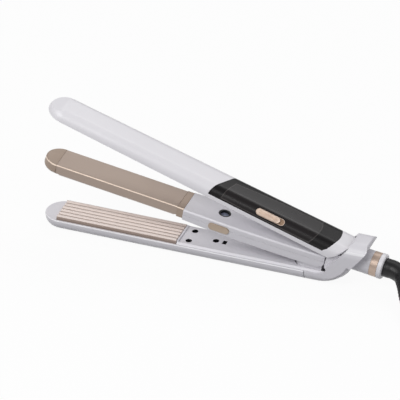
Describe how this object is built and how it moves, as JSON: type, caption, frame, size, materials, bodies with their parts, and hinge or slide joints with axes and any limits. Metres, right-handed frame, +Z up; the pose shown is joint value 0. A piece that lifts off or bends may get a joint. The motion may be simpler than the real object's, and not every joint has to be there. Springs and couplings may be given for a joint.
{
  "type": "hair straightener",
  "caption": "Long hair iron whose hinged arms carry a smooth plate pair over a ridged crimping pair, with sliding buttons, a swivelling cord gland and a mains plug.",
  "frame": {"origin": "under the middle of the iron on the surface it lies on, at half the length from the lower arm's tip to the rim of the cord gland", "axes": "+X from the tips to the cord gland, +Y across the arms to the far side of the picture, +Z up"},
  "size_m": [0.5199, 0.0712, 0.1151],
  "materials": {
    "white_plastic": "satin white",
    "dark_plastic": "matt near black",
    "crimp_metal": "satin champagne coating",
    "gold_metal": "satin rose gold coating",
    "gold_trim": "gold plated",
    "heater_ceramic": "insulating film over ceramic",
    "spring_steel": "bright",
    "lead_sleeve": "matt red",
    "brass": "bright",
    "plated_pin": "nickel plated",
    "gloss_black": "high gloss black",
    "pale_gold_plastic": "pale gold",
    "board_green": "solder mask",
    "lamp_red": "tinted lens",
    "grey_rubber": "matt",
    "cord_rubber": "satin black"
  },
  "bodies": {
    "lower_arm": {"lower_shell": "white_plastic", "rear_deck": "white_plastic", "lower_crimp_plate": "crimp_metal", "lower_plate_mount": "dark_plastic", "lower_heater": "heater_ceramic", "lower_heater_spring": "spring_steel", "lower_leads": "lead_sleeve", "deck_screws": "spring_steel", "latch_cup": "dark_plastic", "yoke": "white_plastic", "hinge_pin": "spring_steel", "trim_ring": "gold_trim", "lower_opening_spring": "spring_steel", "brush_contacts": "brass"},
    "middle_arm": {"middle_smooth_plate": "gold_metal", "middle_crimp_plate": "crimp_metal", "middle_heater": "heater_ceramic", "middle_heater_spring": "spring_steel", "middle_tip_cap": "gold_metal", "middle_end_frame": "gold_metal", "middle_top_shell": "white_plastic", "middle_base": "white_plastic", "middle_bush": "brass", "middle_screws": "spring_steel", "middle_leads": "lead_sleeve", "socket_ring": "dark_plastic", "socket_pad": "grey_rubber", "upper_opening_spring": "spring_steel"},
    "mode_button": {"mode_button": "gold_trim"},
    "upper_arm": {"upper_shell": "white_plastic", "upper_deck": "white_plastic", "upper_smooth_plate": "gold_metal", "upper_plate_mount": "dark_plastic", "upper_heater": "heater_ceramic", "upper_heater_spring": "spring_steel", "upper_leads": "lead_sleeve", "upper_screws": "spring_steel", "black_panel": "gloss_black", "switch_frame": "pale_gold_plastic", "switch_body": "dark_plastic", "control_board": "board_green", "indicator_led": "lamp_red", "thermal_fuse": "plated_pin"},
    "power_switch": {"power_switch": "pale_gold_plastic"},
    "cord": {"slip_rings": "brass", "swivel_spindle": "dark_plastic", "end_ring": "white_plastic", "strain_relief": "cord_rubber", "cord_lead": "cord_rubber", "cord_hank": "cord_rubber", "cord_tail": "cord_rubber", "cord_tie": "cord_rubber", "plug_body": "cord_rubber", "plug_pins": "plated_pin"}
  },
  "joints": [
    {"name": "middle_hinge", "type": "hinge", "parent": "lower_arm", "child": "middle_arm", "pos_m": [0.11, 0, 0.0195], "axis": [0, -1, 0], "range_deg": [0, 8.8], "stiffness_Nm_per_rad": 1.2, "springref_deg": -25.78, "deforming": ["lower_opening_spring"]},
    {"name": "upper_hinge", "type": "hinge", "parent": "middle_arm", "child": "upper_arm", "pos_m": [0.11, 0, 0.0195], "axis": [0, -1, 0], "range_deg": [0, 9.9], "stiffness_Nm_per_rad": 1.2, "springref_deg": -25.78, "deforming": ["upper_opening_spring"]},
    {"name": "power_slide", "type": "slide", "parent": "upper_arm", "child": "power_switch", "axis": [0.9527, 0, -0.304], "range_m": [0, 0.0034]},
    {"name": "mode_slide", "type": "slide", "parent": "middle_arm", "child": "mode_button", "axis": [0.9882, 0, -0.153], "range_m": [0, 0.0018]},
    {"name": "cord_swivel", "type": "hinge", "parent": "lower_arm", "child": "cord", "pos_m": [0.11, 0, 0.0242], "axis": [0.9895, 0, -0.1444], "continuous": true}
  ]
}
